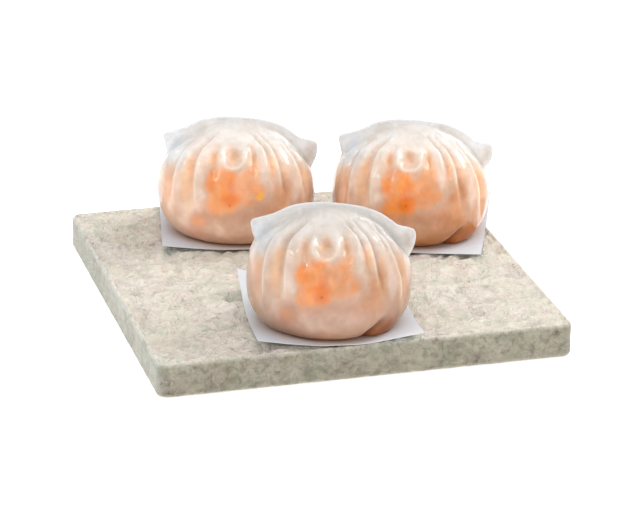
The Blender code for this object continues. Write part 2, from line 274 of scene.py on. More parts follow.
def add_node(tree, kind, inputs=None, stops=None, **settings):
    """Add a node, make its settings, then set each input or link it from a socket."""
    node = tree.nodes.new(kind)
    for name, value in settings.items():
        setattr(node, name, value)
    if stops:
        ramp = node.color_ramp.elements
        while len(ramp) < len(stops):
            ramp.new(0.5)
        for stop, (position, colour) in zip(ramp, stops):
            stop.position = position
            stop.color = linear_rgb(colour)
    for name, value in (inputs or {}).items():
        if isinstance(value, bpy.types.NodeSocket):
            tree.links.new(value, node.inputs[name])
        else:
            node.inputs[name].default_value = value
    return node


def new_material(name):
    material = bpy.data.materials.new(name)
    material.use_nodes = True
    material.node_tree.nodes.clear()
    return material, material.node_tree


def per_metre(size):
    """Scale of a noise pattern whose lumps are about the given size across, in mm.

    It is a whole number of lumps per metre.
    """
    return float(round(1.0 / (size * MM)))


def limestone():
    """Pale limestone, hewn and tumbled: matt, mottled cream, pink-grey and grey-green.

    Real grit is about 0.3 mm. It is drawn 1.1 mm across, as coarse as it needs to show.
    """
    material, tree = new_material("pale_limestone_hewn_and_tumbled")
    place = add_node(tree, "ShaderNodeTexCoord").outputs["Object"]
    # name, size of its lumps in mm, detail, distortion
    grain = {}
    for name, size, detail, distortion in (
            ("clouds", 21.7, 4.0, 0.8), ("tints", 8.33, 2.5, 1.4),
            ("blotches", 7.14, 4.5, 1.3), ("veins", 5.26, 3.0, 2.2),
            ("specks", 2.326, 3.0, 0.6), ("grit", 1.111, 4.0, 0.0)):
        speckled = add_node(tree, "ShaderNodeTexNoise", {
            "Vector": place, "Scale": per_metre(size), "Detail": detail, "Roughness": 0.6,
            "Distortion": distortion})
        grain[name] = speckled.outputs["Fac"]
    # name, the pattern it follows, where each colour sits on it
    tone = {}
    for name, source, stops in (
            ("ground", "clouds", (
                (0.30, "C6C2B6"), (0.43, "D8D2C7"), (0.56, "E4DED4"), (0.70, "F2EDE3"))),
            ("tint", "tints", (
                (0.30, "B3BDA2"), (0.42, "D9D8C2"), (0.52, "EADDC8"), (0.62, "E1CBC4"),
                (0.74, "DCC6C2"))),
            ("mottle", "blotches", (
                (0.34, "8E8873"), (0.44, "D0CABA"), (0.54, "E8E1D6"), (0.60, "FFFFFA"))),
            ("dust", "grit", (
                (0.34, "A09D93"), (0.46, "DBD8D1"), (0.60, "EDEAE5"), (0.70, "FFFFFF"))),
            ("speckle", "specks", (
                (0.37, "8E887B"), (0.47, "DEDBD5"), (0.54, "FFFFFF")))):
        shades = add_node(tree, "ShaderNodeValToRGB", {"Fac": grain[source]}, stops=stops)
        tone[name] = shades.outputs["Color"]
    # masks from the slab's points: painted highlight on the brows and edges, painted shade in the
    # dents and on the walls, where the front and back walls also take their speckle
    painted_light_masks = {}
    for name in ("brow_painted_highlight", "dent_painted_shade", "edge_painted_highlight", "sawn", "side_wall_painted_shade"):
        painted_light_masks[name] = add_node(tree, "ShaderNodeAttribute", attribute_name=name).outputs["Fac"]
    # thin pale veins, broken up, and a few dark pits
    off_vein = add_node(tree, "ShaderNodeMath", {
        0: grain["veins"], 1: 0.5}, operation="SUBTRACT")
    from_vein = add_node(tree, "ShaderNodeMath", {0: off_vein.outputs[0]}, operation="ABSOLUTE")
    spread = {}
    for name, source, from_min, from_max, to_min, to_max in (
            ("vein_line", from_vein.outputs[0], 0.030, 0.0, 0.0, 0.6),
            ("vein_part", grain["blotches"], 0.46, 0.56, 0.0, 1.0),
            ("pit_dot", grain["specks"], 0.36, 0.30, 0.0, 0.6),
            ("pit_part", grain["tints"], 0.50, 0.56, 0.0, 1.0),
            ("roughness", grain["blotches"], 0.3, 0.7, 0.92, 0.70)):
        stretched = add_node(tree, "ShaderNodeMapRange", {
            "Value": source, "From Min": from_min, "From Max": from_max,
            "To Min": to_min, "To Max": to_max})
        spread[name] = stretched.outputs["Result"]
    share = {}
    for name, first, second in (
            ("brow_painted_highlight", painted_light_masks["brow_painted_highlight"], 0.40), ("dent_painted_shade", painted_light_masks["dent_painted_shade"], 0.16),
            ("edge_painted_highlight", painted_light_masks["edge_painted_highlight"], 0.70), ("speckle", painted_light_masks["sawn"], 0.38),
            ("vein", spread["vein_line"], spread["vein_part"]),
            ("pit", spread["pit_dot"], spread["pit_part"])):
        product = add_node(tree, "ShaderNodeMath", {0: first, 1: second}, operation="MULTIPLY")
        share[name] = product.outputs[0]
    # how much of each is laid over what is under it, and how
    colour = tone["ground"]
    for amount, laid_over, blend_type in (
            (0.5, tone["tint"], "MIX"),
            (0.18, tone["mottle"], "MIX"),
            (0.10, tone["dust"], "MIX"),
            # painted highlight on the brows, then painted shade in the dents
            (share["brow_painted_highlight"], linear_rgb("FBF5E8"), "MIX"),
            (share["dent_painted_shade"], linear_rgb("B3A8A0"), "MIX"),
            # painted highlight along the rounded edges, broken by nicks
            (share["edge_painted_highlight"], linear_rgb("FBF7EC"), "MIX"),
            (share["vein"], linear_rgb("FBF6EA"), "MIX"),
            (share["pit"], linear_rgb("8B857A"), "MIX"),
            (share["speckle"], tone["speckle"], "MULTIPLY"),
            # painted shade on the front and back walls; on the side walls painted shade, cooled
            # like a painted reflection of the white floor
            (painted_light_masks["sawn"], linear_rgb("BBBAB1"), "MULTIPLY"),
            (painted_light_masks["side_wall_painted_shade"], linear_rgb("DADFDF"), "MULTIPLY")):
        layer = add_node(tree, "ShaderNodeMix", {
            MIX_SHARE: amount, MIX_A: colour, MIX_B: laid_over},
            data_type="RGBA", blend_type=blend_type)
        colour = layer.outputs[MIX_RESULT]
    coarse_bump = add_node(tree, "ShaderNodeBump", {
        "Height": grain["blotches"], "Strength": 0.9, "Distance": 2.7 * MM})
    vein_bump = add_node(tree, "ShaderNodeBump", {
        "Height": share["vein"], "Strength": 0.6, "Distance": 0.4 * MM,
        "Normal": coarse_bump.outputs["Normal"]})
    fine_bump = add_node(tree, "ShaderNodeBump", {
        "Height": grain["grit"], "Strength": 0.5, "Distance": 0.4 * MM,
        "Normal": vein_bump.outputs["Normal"]})
    shader = add_node(tree, "ShaderNodeBsdfPrincipled", {
        "Base Color": colour, "Roughness": spread["roughness"],
        "IOR": 1.5, "Specular IOR Level": 0.35, "Normal": fine_bump.outputs["Normal"]})
    add_node(tree, "ShaderNodeOutputMaterial", {"Surface": shader.outputs["BSDF"]})
    return material


def greaseproof_paper():
    """Greaseproof paper, calendered: smooth, cool white, lets a little light through.

    Real fibres are about 0.03 mm wide. They are drawn as 1.4 mm flecks, so that they show.
    """
    material, tree = new_material("greaseproof_paper_calendered")
    place = add_node(tree, "ShaderNodeTexCoord").outputs["Object"]
    fibres = add_node(tree, "ShaderNodeTexNoise", {
        "Vector": place, "Scale": per_metre(1.429), "Detail": 5.0, "Roughness": 0.6})
    cloud = add_node(tree, "ShaderNodeTexNoise", {
        "Vector": place, "Scale": per_metre(16.7), "Detail": 3.0, "Roughness": 0.5})
    open_paper_tone = add_node(tree, "ShaderNodeValToRGB", {"Fac": cloud.outputs["Fac"]}, stops=(
        (0.35, "E3E8F0"), (0.65, "ECF1F7")))
    # warm painted shade round each dumpling's base, tinted like light bounced from the skin
    base_painted_shade = add_node(tree, "ShaderNodeAttribute", attribute_name="base_painted_shade").outputs["Fac"]
    tone = add_node(tree, "ShaderNodeMix", {
        MIX_SHARE: base_painted_shade, MIX_A: open_paper_tone.outputs["Color"], MIX_B: linear_rgb("E8C9AE")},
        data_type="RGBA").outputs[MIX_RESULT]
    rough = add_node(tree, "ShaderNodeMapRange", {
        "Value": fibres.outputs["Fac"], "From Min": 0.3, "From Max": 0.7,
        "To Min": 0.55, "To Max": 0.7})
    bump = add_node(tree, "ShaderNodeBump", {
        "Height": fibres.outputs["Fac"], "Strength": 0.18, "Distance": 0.08 * MM})
    shader = add_node(tree, "ShaderNodeBsdfPrincipled", {
        "Base Color": tone, "Roughness": rough.outputs["Result"],
        "IOR": 1.5, "Specular IOR Level": 0.4, "Normal": bump.outputs["Normal"]})
    through = add_node(tree, "ShaderNodeBsdfTranslucent", {"Color": tone})
    both = add_node(tree, "ShaderNodeMixShader", {
        0: 0.14, 1: shader.outputs["BSDF"], 2: through.outputs["BSDF"]})
    add_node(tree, "ShaderNodeOutputMaterial", {"Surface": both.outputs["Shader"]})
    return material


def starch_skin(name, saturation, low_saturation, paleness, low_paleness):
    """Steamed wheat starch skin over chopped prawn: glossy, milky, coloured from beneath."""
    material, tree = new_material(name)
    place = add_node(tree, "ShaderNodeTexCoord").outputs["Object"]
    # flesh beneath, cloudy thickness of the skin, its fine wrinkles and its faint marbling:
    # name, size of its lumps in mm, detail, roughness, distortion
    grain = {}
    for pattern, size, detail, roughness, distortion in (
            ("flesh", 3.33, 1.5, 0.5, 0.3), ("cloud", 6.67, 1.5, 0.5, 0.4),
            ("wrinkles", 1.613, 1.5, 0.5, 0.0), ("marbling", 4.35, 2.0, 0.55, 0.6)):
        speckled = add_node(tree, "ShaderNodeTexNoise", {
            "Vector": place, "Scale": per_metre(size), "Detail": detail,
            "Roughness": roughness, "Distortion": distortion})
        grain[pattern] = speckled.outputs["Fac"]
    rise = add_node(tree, "ShaderNodeAttribute", attribute_name="rise").outputs["Fac"]
    # the range of a pattern, or of the height up the skin, that spreads over a range of values
    spread = {}
    for effect, source, from_min, from_max, to_min, to_max in (
            # the cloud varies the tone at random; a paleness above 1 is painted light
            ("shade", grain["cloud"], 0.3, 0.7, 0.95 * paleness, 1.05 * paleness),
            # a gain at the foot above 1 is painted light that lifts the shade low on the rear
            # dumplings
            ("lift", rise, 0.15, 0.6, low_paleness, 1.0),
            ("richness", rise, 0.2, 0.45, low_saturation, saturation),
            ("roughness", grain["flesh"], 0.3, 0.7, 0.29, 0.42),
            ("wrinkling", rise, 0.35, 0.75, 0.2, 1.0)):
        stretched = add_node(tree, "ShaderNodeMapRange", {
            "Value": source, "From Min": from_min, "From Max": from_max,
            "To Min": to_min, "To Max": to_max})
        spread[effect] = stretched.outputs["Result"]
    # darker and more saturated towards the foot: partly the skin's own colour, partly painted
    # shade
    body = add_node(tree, "ShaderNodeValToRGB", {"Fac": rise}, stops=(
        (0.0, "A2785F"), (0.16, "B3896E"), (0.36, "C19A81"),
        (0.58, "D6B6A0"), (0.78, "DDC5B3"), (0.92, "E3D8D0")))
    colour = body.outputs["Color"]
    # mask, its colour, how strongly it covers, how much that varies with the flesh beneath
    layers = (
        # the folds: partly the orange of thin skin over prawn, partly painted light that lifts the
        # shade in them
        ("groove", "E6C3A6", 0.70, 0.3),
        ("rose", "D09A86", 0.7, 0.35),
        ("peach", "ECC098", 0.85, 0.25),
        ("tan", "C98E60", 0.75, 0.3),
        # paler skin, and in one spot painted light
        ("pale", "E2D3C9", 0.8, 0.3),
        ("prawn", "EE994B", 1.0, 0.12),
        ("deep_prawn", "E07B2A", 0.9, 0.12),
        ("amber", "FCB542", 0.9, 0.15),
        ("ember", "8E4420", 0.9, 0.0),
        # lips and loop: partly the milkier doubled skin, partly a painted highlight
        ("ridge", "DDD2C8", 0.85, 0.15),
        ("milk", "D9D4D0", 0.85, 0.1),
        # brown painted shade under the lap and along the foot
        ("brown_painted_shade", "A25E26", 0.92, 0.1),
        # painted shadow along the lap's edge
        ("lap_edge_painted_shadow", "6E3718", 0.85, 0.1),
        ("crest", "D2D0CE", 0.95, 0.0),
        ("frost", "CED1D5", 0.9, 0.0),
        # painted shade on the right wing tip
        ("right_wing_painted_shade", "B0A397", 0.85, 0.0),
        # painted shade towards the crest's rim, against the extra light the thin rim catches
        ("rim", "B9BBBE", 0.60, 0.0),
    )
    for mask, tint, strength, unevenness in layers:
        painted = add_node(tree, "ShaderNodeAttribute", attribute_name=mask).outputs["Fac"]
        uneven = add_node(tree, "ShaderNodeMapRange", {
            "Value": grain["flesh"], "From Min": 0.3, "From Max": 0.7,
            "To Min": strength * (1.0 - unevenness), "To Max": strength * (1.0 + unevenness)})
        share = add_node(tree, "ShaderNodeMath", {
            0: painted, 1: uneven.outputs["Result"]}, operation="MULTIPLY", use_clamp=True)
        layer = add_node(tree, "ShaderNodeMix", {
            MIX_SHARE: share.outputs[0], MIX_A: colour, MIX_B: linear_rgb(tint)},
            data_type="RGBA")
        colour = layer.outputs[MIX_RESULT]
    value = add_node(tree, "ShaderNodeMath", {
        0: spread["shade"], 1: spread["lift"]}, operation="MULTIPLY")
    blush = add_node(tree, "ShaderNodeValToRGB", {"Fac": grain["marbling"]}, stops=(
        (0.36, "EDE7E0"), (0.50, "F6F3EE"), (0.64, "FFFFFF")))
    marbled = add_node(tree, "ShaderNodeMix", {
        MIX_SHARE: 0.6, MIX_A: colour, MIX_B: blush.outputs["Color"]},
        data_type="RGBA", blend_type="MULTIPLY")
    tuned = add_node(tree, "ShaderNodeHueSaturation", {
        "Color": marbled.outputs[MIX_RESULT], "Saturation": spread["richness"],
        "Value": value.outputs[0]})
    # light reaches further in red through the flesh, and evenly through the bare crest
    thin = add_node(tree, "ShaderNodeAttribute", attribute_name="crest").outputs["Fac"]
    reach = add_node(tree, "ShaderNodeMix", {
        MIX_SHARE: thin, MIX_A: (1.0, 0.74, 0.60, 1.0), MIX_B: (0.80, 0.80, 0.82, 1.0)},
        data_type="RGBA")
    wrinkle = add_node(tree, "ShaderNodeMath", {
        0: grain["wrinkles"], 1: spread["wrinkling"]}, operation="MULTIPLY")
    soft_bump = add_node(tree, "ShaderNodeBump", {
        "Height": grain["cloud"], "Strength": 0.3, "Distance": 0.8 * MM})
    fine_bump = add_node(tree, "ShaderNodeBump", {
        "Height": wrinkle.outputs[0], "Strength": 0.6, "Distance": 0.6 * MM,
        "Normal": soft_bump.outputs["Normal"]})
    shader = add_node(tree, "ShaderNodeBsdfPrincipled", {
        "Base Color": tuned.outputs["Color"], "Roughness": spread["roughness"],
        "IOR": 1.42, "Specular IOR Level": 0.5,
        "Subsurface Weight": 0.95, "Subsurface Radius": reach.outputs[MIX_RESULT],
        "Subsurface Scale": 4.5 * MM, "Coat Weight": 0.85, "Coat Roughness": 0.10,
        "Coat IOR": 1.35, "Normal": fine_bump.outputs["Normal"]})
    add_node(tree, "ShaderNodeOutputMaterial", {"Surface": shader.outputs["BSDF"]})
    return material


def floor_paper():
    """Seamless white studio paper, matt and evenly lit."""
    material, tree = new_material("seamless_white_studio_paper")
    shader = add_node(tree, "ShaderNodeBsdfPrincipled", {
        "Base Color": (0.95, 0.95, 0.95, 1.0), "Roughness": 0.9, "Specular IOR Level": 0.1,
        "Emission Color": (1.0, 1.0, 1.0, 1.0), "Emission Strength": 0.4})
    add_node(tree, "ShaderNodeOutputMaterial", {"Surface": shader.outputs["BSDF"]})
    return material


# ---- mesh helpers

# How far a seed moves the random relief, how fast finer lumps fall off and get smaller
SEED_STEPS = (7.13, 3.71, 5.39)
LUMP_FALL, LUMP_STEP = 0.6, 2.0


def deselect_all():
    bpy.ops.object.select_all(action="DESELECT")


def mesh_places(mesh):
    places = np.empty(len(mesh.vertices) * 3)
    mesh.vertices.foreach_get("co", places)
    return places.reshape(-1, 3)


def set_places(mesh, places):
    mesh.vertices.foreach_set("co", np.ascontiguousarray(places).ravel())
    mesh.update()


def set_point_values(mesh, name, values):
    layer = mesh.attributes.new(name, "FLOAT", "POINT")
    layer.data.foreach_set("value", np.ascontiguousarray(values, dtype=np.float32))


def lumps(places, size, seed, octaves=2):
    """Smooth random relief, about -1 to 1, with lumps of the given size."""
    shape = places.shape[:-1]
    shift = Vector([seed * step for step in SEED_STEPS])
    relief = [
        noise.fractal(Vector(place) / size + shift, LUMP_FALL, LUMP_STEP, octaves)
        for place in places.reshape(-1, 3)]
    return np.array(relief).reshape(shape)


def weld_and_face_out(piece, distance):
    deselect_all()
    piece.select_set(True)
    bpy.context.view_layer.objects.active = piece
    bpy.ops.object.mode_set(mode="EDIT")
    bpy.ops.mesh.select_all(action="SELECT")
    bpy.ops.mesh.remove_doubles(threshold=distance)
    bpy.ops.mesh.normals_make_consistent(inside=False)
    bpy.ops.object.mode_set(mode="OBJECT")
    piece.data.shade_smooth()


def base_centre(node):
    """Middle of the base of a dumpling, in mm."""
    low, high = (np.array(corner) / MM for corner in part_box(node))
    return blend(low, high, np.append(BASE_CENTRE_SHARE, 0.0))


def put_on_frame(piece, node, material):
    """Dress the piece and let it stand for its node."""
    piece.data.materials.clear()
    piece.data.materials.append(material)
    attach(piece, "root")
    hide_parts(node)


# ---- slab

def crowded(share, crowding):
    """Move the grid lines of a side, -1 to 1, closer together near its two ends."""
    return (1.0 - crowding) * share + crowding * np.sin(share * math.pi / 2.0)


def round_square(first, second):
    """Turn square corner zones into round ones of the same reach."""
    longest = np.maximum(np.abs(first), np.abs(second))
    pull = longest / np.maximum(np.hypot(first, second), TINY)
    return first * pull, second * pull


def rounded_block(shares, half):
    """Round the block's corners and edges.

    Gives its points, the level way out at each, the way it faces there, how much of a wall it
    is, and 1 on a rounded edge.
    """
    places = crowded(shares, SLAB_CELL_CROWDING) * half
    places[:, 2] = shares[:, 2] * half[2]
    side_wall = np.max(np.abs(shares[:, :2]), axis=1) > 1.0 - NEARLY
    inner = half[:2] - SLAB_CORNER_RADIUS
    core = np.clip(places[:, :2], -inner, inner)
    reach = places[:, :2] - core
    round_x, round_y = round_square(reach[:, 0], reach[:, 1])
    places[:, 0] = core[:, 0] + round_x
    places[:, 1] = core[:, 1] + round_y
    # how far in from the side wall each place is, and the way out from it
    from_core = places[:, :2] - core
    length = np.linalg.norm(from_core, axis=1)
    straight_gap = np.min(half[:2] - np.abs(places[:, :2]), axis=1)
    in_corner = np.min(np.abs(from_core), axis=1) > NEARLY
    gap = np.where(in_corner, SLAB_CORNER_RADIUS - length, straight_gap)
    nearest_x = (half[0] - np.abs(places[:, 0])) < (half[1] - np.abs(places[:, 1]))
    out = np.where(
        nearest_x[:, None],
        np.stack((np.sign(places[:, 0]), np.zeros(len(places))), -1),
        np.stack((np.zeros(len(places)), np.sign(places[:, 1])), -1))
    corner_out = from_core / np.maximum(length, TINY)[:, None]
    out = np.where(in_corner[:, None], corner_out, out)
    # the edge round the top and the underside
    outward = np.maximum(SLAB_EDGE_RADIUS - gap, 0.0)
    upward = np.maximum(SLAB_EDGE_RADIUS - (half[2] - np.abs(places[:, 2])), 0.0)
    new_outward, new_upward = round_square(outward, upward)
    both = (outward > 0.0) & (upward > 0.0)
    places[:, :2] += out * np.where(both, new_outward - outward, 0.0)[:, None]
    places[:, 2] += np.sign(places[:, 2]) * np.where(both, new_upward - upward, 0.0)
    # it faces out on the walls, up or down on the flat faces, and between on the edges
    tilt = np.where(both, np.arctan2(upward, np.maximum(outward, TINY)), 0.0)
    wall_share = np.where(both, np.cos(tilt), np.where(side_wall, 1.0, 0.0))
    flat_share = np.where(both, np.sin(tilt), np.where(side_wall, 0.0, 1.0))
    facing = np.concatenate(
        (out * wall_share[:, None], (np.sign(places[:, 2]) * flat_share)[:, None]), axis=1)
    return places, out, facing, wall_share, np.where(both, 1.0, 0.0)


def hewn(shares, half):
    """Dent the rounded block's faces between thin brows, and nibble its edges."""
    places, out, facing, wall_share, edge = rounded_block(shares, half)
    swell = lumps(places, SWELL_SIZE, SWELL_SEED)
    dents = np.abs(lumps(places, DENT_SIZE, DENT_SEED, octaves=3))
    chips = np.maximum(lumps(places, CHIP_SIZE, CHIP_SEED) - CHIP_START, 0.0)
    calm = 1.0 - WALL_CALM * np.maximum(wall_share, edge)
    height = calm * (SWELL_HEIGHT * swell + BROW_HEIGHT - DENT_DEPTH * dents)
    height = np.minimum(height - edge * CHIP_DEPTH * chips, BROW_LIMIT)
    nicks = lumps(places, NICK_SIZE, NICK_SEED)
    masks = {
        # painted highlight on the brows between the dents, and painted shade in the dents
        "brow_painted_highlight": ease(dents, *BROW_HIGHLIGHT_PAINT),
        "dent_painted_shade": ease(dents, *DENT_SHADE_PAINT),
        # painted highlight on the rounded edges, broken by nicks
        "edge_painted_highlight": edge * ease(nicks, *EDGE_HIGHLIGHT_PAINT),
        # the front and back walls get painted shade and their speckle, the side walls painted
        # shade with a cool painted reflection
        "sawn": wall_share * np.abs(out[:, 1]),
        "side_wall_painted_shade": wall_share * np.abs(out[:, 0]),
    }
    return places + facing * height[:, None], masks


def make_slab(material):
    low, high = (np.array(corner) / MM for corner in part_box("stone_slab"))
    deselect_all()
    bpy.ops.mesh.primitive_cube_add(size=2.0)
    slab = bpy.context.object
    slab.name = "hewn_stone_slab"
    mesh = slab.data
    for axis, cells in enumerate(SLAB_CELLS):
        bpy.ops.object.mode_set(mode="EDIT")
        bpy.ops.mesh.select_mode(type="EDGE")
        bpy.ops.mesh.select_all(action="DESELECT")
        bpy.ops.object.mode_set(mode="OBJECT")
        corners = mesh_places(mesh)
        ends = np.empty(len(mesh.edges) * 2, dtype=np.int32)
        mesh.edges.foreach_get("vertices", ends)
        runs = np.abs(corners[ends[0::2]] - corners[ends[1::2]])
        mesh.edges.foreach_set("select", runs[:, axis] > 1.0)
        bpy.ops.object.mode_set(mode="EDIT")
        bpy.ops.mesh.subdivide(number_cuts=cells - 1)
    bpy.ops.object.mode_set(mode="OBJECT")
    places, masks = hewn(mesh_places(mesh), (high - low) / 2.0)
    set_places(mesh, (places + (low + high) / 2.0) * MM)
    for name, values in masks.items():
        set_point_values(mesh, name, values)
    mesh.shade_smooth()
    put_on_frame(slab, "stone_slab", material)


# ---- papers

def paper_lift(u, v, corner_lifts):
    """Height of the curled sheet at u, v, which run from -1 to 1 over the square."""
    front_left, front_right, back_right, back_left = corner_lifts
    front = np.where(u < 0.0, front_left, front_right)
    back = np.where(u < 0.0, back_left, back_right)
    corner = np.where(v < 0.0, front, back)
    share = (np.abs(u * v) - PAPER_FLAT_SHARE) / (1.0 - PAPER_FLAT_SHARE)
    return corner * np.maximum(share, 0.0) ** PAPER_CURL_POWER


def make_paper(node, turn_degrees, corner_lifts, seed, material):
    low, high = (np.array(corner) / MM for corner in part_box(node))
    deselect_all()
    bpy.ops.mesh.primitive_grid_add(
        x_subdivisions=PAPER_CELLS, y_subdivisions=PAPER_CELLS, size=2.0)
    paper = bpy.context.object
    paper.name = node.replace("paper", "greaseproof_square")
    shares = mesh_places(paper.data)
    u = shares[:, 0]
    v = shares[:, 1]
    rim = np.maximum(np.abs(u), np.abs(v)) ** PAPER_WAVE_POWER
    wave = PAPER_WAVE_HEIGHT * rim * (
        1.0 + lumps(shares * PAPER_SIDE / 2.0, PAPER_WAVE_SIZE, seed, octaves=1))
    places = np.stack((
        u * PAPER_SIDE / 2.0, v * PAPER_SIDE / 2.0,
        paper_lift(u, v, corner_lifts) + wave), -1)
    turn = Matrix.Rotation(math.radians(turn_degrees), 3, "Z")
    places = places @ np.array(turn).T
    middle = (low + high) / 2.0
    middle[2] = low[2]
    set_places(paper.data, (places + middle) * MM)
    base = base_centre(node.replace("paper", "dumpling"))
    from_base = (places + middle - base) / np.array((PATCH_HALF_WIDTH, PATCH_FRONT, 1.0))
    reach = np.hypot(from_base[:, 0], from_base[:, 1])
    # warm painted shade round the dumpling's base
    set_point_values(paper.data, "base_painted_shade", BASE_SHADE_STRENGTH * (1.0 - ease(reach, *BASE_SHADE_EDGE)))
    thickness = paper.modifiers.new("thickness", "SOLIDIFY")
    thickness.thickness = PAPER_THICKNESS * MM
    thickness.offset = 1.0
    bpy.ops.object.modifier_apply(modifier=thickness.name)
    paper.data.shade_smooth()
    paper.data.set_sharp_from_angle(angle=PAPER_SHARP_ANGLE)
    put_on_frame(paper, node, material)


# ---- dumplings

def smooth_curve(points, steps_each):
    """Points on a smooth curve through the given ones (Catmull-Rom)."""
    points = np.array(points)
    padded = np.vstack([2 * points[0] - points[1], points, 2 * points[-1] - points[-2]])
    curve = []
    for index in range(len(points) - 1):
        before, start, end, after = padded[index:index + 4]
        for step in range(steps_each):
            t = step / steps_each
            curve.append(0.5 * (
                2 * start + (end - before) * t
                + (2 * before - 5 * start + 4 * end - after) * t ** 2
                + (3 * start - 3 * end + after - before) * t ** 3))
    curve.append(points[-1])
    return np.array(curve)


def length_share(curve):
    """How far along its length each point of a curve lies, from 0 to 1."""
    lengths = np.hypot(*np.diff(curve, axis=0).T)
    travelled = np.concatenate([[0.0], np.cumsum(lengths)])
    return travelled / travelled[-1]


def seam_height(x):
    """Height of the crest's foot, which falls from the middle to a notch at each end."""
    left_share = np.maximum(1.0 - (x / LEFT_NOTCH[0]) ** 2, 0.0)
    right_share = np.maximum(1.0 - (x / RIGHT_NOTCH[0]) ** 2, 0.0)
    left = blend(LEFT_NOTCH[1], SEAM_HEIGHT, left_share ** SEAM_LEFT_POWER)
    right = blend(RIGHT_NOTCH[1], SEAM_HEIGHT, right_share ** SEAM_RIGHT_POWER)
    return np.where(x < 0.0, left, right)


# The crest's edge and foot by length, and where each place round the belly meets the crest
# and how late it sweeps in
CREST_STEPS, FOOT_STEPS, FOLD_STEPS = 12, 481, 10
CREST_CURVE = smooth_curve(CREST_EDGE, CREST_STEPS)
CREST_SHARE = length_share(CREST_CURVE)
FOOT_X = np.linspace(LEFT_NOTCH[0], RIGHT_NOTCH[0], FOOT_STEPS)
FOOT_SHARE = length_share(np.stack((FOOT_X, seam_height(FOOT_X)), -1))
PLACE_CURVE = smooth_curve(
    [(-1.0, LEFT_NOTCH[0])] + [(fold[0], fold[1]) for fold in FOLDS]
    + [(1.0, RIGHT_NOTCH[0])], FOLD_STEPS)
SWEEP_CURVE = smooth_curve(
    [(-1.0, 1.0)] + [(fold[0], fold[4]) for fold in FOLDS] + [(1.0, 1.0)], FOLD_STEPS)


def as_points(x, y, z):
    return np.stack(np.broadcast_arrays(x, y, z), -1).astype(float)


def creased_points(along, side, level):
    """The plain skin with a sharp crease between the shoulder and the crest.

    along is the place round the belly, side is -1 in front and 1 behind. Going up, the levels
    are the patch it sits on, the rise to the belly, the shoulder and the crest.
    """
    across = side * np.cos(along * math.pi / 2.0)
    outward = np.sin(along * math.pi / 2.0)
    front_share = (1.0 - across) / 2.0
    patch = as_points(
        PATCH_HALF_WIDTH * outward, blend(PATCH_BACK, PATCH_FRONT, front_share) * across, 0.0)
    belly = as_points(
        HALF_WIDTH * outward, blend(BACK_DEPTH, FRONT_DEPTH, front_share) * across,
        BELLY_HEIGHT)
    foot_x = np.interp(along, PLACE_CURVE[:, 0], PLACE_CURVE[:, 1])
    wall = side * np.sqrt(np.maximum(1.0 - np.abs(along) ** CREST_END_SQUARENESS, 0.0))
    foot = as_points(foot_x, wall * CREST_FOOT_HALF_THICKNESS, seam_height(foot_x))
    edge_share = np.interp(foot_x, FOOT_X, FOOT_SHARE)
    edge = as_points(
        np.interp(edge_share, CREST_SHARE, CREST_CURVE[:, 0]),
        wall * CREST_EDGE_HALF_THICKNESS,
        np.interp(edge_share, CREST_SHARE, CREST_CURVE[:, 1]))

    under = patch * np.minimum(level, PATCH_LEVEL)[..., None]

    angle = (np.clip(level, PATCH_LEVEL, BELLY_LEVEL) - PATCH_LEVEL) * math.pi / 2.0
    rise = blend(patch, belly, np.sin(angle)[..., None])
    rise[..., 2] = BELLY_HEIGHT * (1.0 - np.cos(angle))

    angle = (np.clip(level, BELLY_LEVEL, SEAM_LEVEL) - BELLY_LEVEL) * SHOULDER_SWEEP
    power = 2.0 / SHOULDER_FULLNESS
    inward = (1.0 - np.cos(angle) ** power) / (1.0 - math.cos(SHOULDER_SWEEP) ** power)
    upward = np.sin(angle) ** power / math.sin(SHOULDER_SWEEP) ** power
    shoulder = blend(belly, foot, inward[..., None])
    sweep = np.interp(along, SWEEP_CURVE[:, 0], SWEEP_CURVE[:, 1])
    swept = blend(belly[..., 0], foot[..., 0], np.maximum(inward, 0.0) ** sweep)
    shoulder[..., 0] = np.where(side < 0, swept, shoulder[..., 0])
    shoulder[..., 2] = blend(belly[..., 2], foot[..., 2], upward)

    climb = np.clip(level, SEAM_LEVEL, EDGE_LEVEL) - SEAM_LEVEL
    crest = blend(foot, edge, climb[..., None])
    crest[..., 1] = blend(edge[..., 1], foot[..., 1], (1.0 - climb) ** 2)

    level = level[..., None]
    upper = np.where(level <= SEAM_LEVEL, shoulder, crest)
    lower = np.where(level <= PATCH_LEVEL, under, rise)
    return np.where(level <= BELLY_LEVEL, lower, upper)


def skin_points(along, side, level):
    """The plain skin, before its pleats, with its crest softly bent."""
    share = np.clip((level - CREASE_START) / (CREASE_END - CREASE_START), 0.0, 1.0)[..., None]
    lower = creased_points(along, side, np.full_like(level, CREASE_START))
    crease = creased_points(along, side, np.full_like(level, SEAM_LEVEL))
    upper = creased_points(along, side, np.full_like(level, CREASE_END))
    rounded = blend(blend(lower, crease, share), blend(crease, upper, share), share)
    near_crease = (level > CREASE_START) & (level < CREASE_END)
    points = np.where(near_crease[..., None], rounded, creased_points(along, side, level))
    bend_share = ease(points[..., 2], SEAM_HEIGHT / 2.0, SEAM_HEIGHT)
    points[..., 1] += CREST_BEND * bend_share * np.sin(math.pi * points[..., 0] / HALF_WIDTH)
    return points


def ring_normals(points):
    """Outward normals of rings of points, each ring closed on itself."""
    round_step = np.roll(points, -1, axis=1) - np.roll(points, 1, axis=1)
    up_step = np.gradient(points, axis=0)
    normals = np.cross(round_step, up_step)
    lengths = np.linalg.norm(normals, axis=-1, keepdims=True)
    return normals / np.maximum(lengths, TINY)


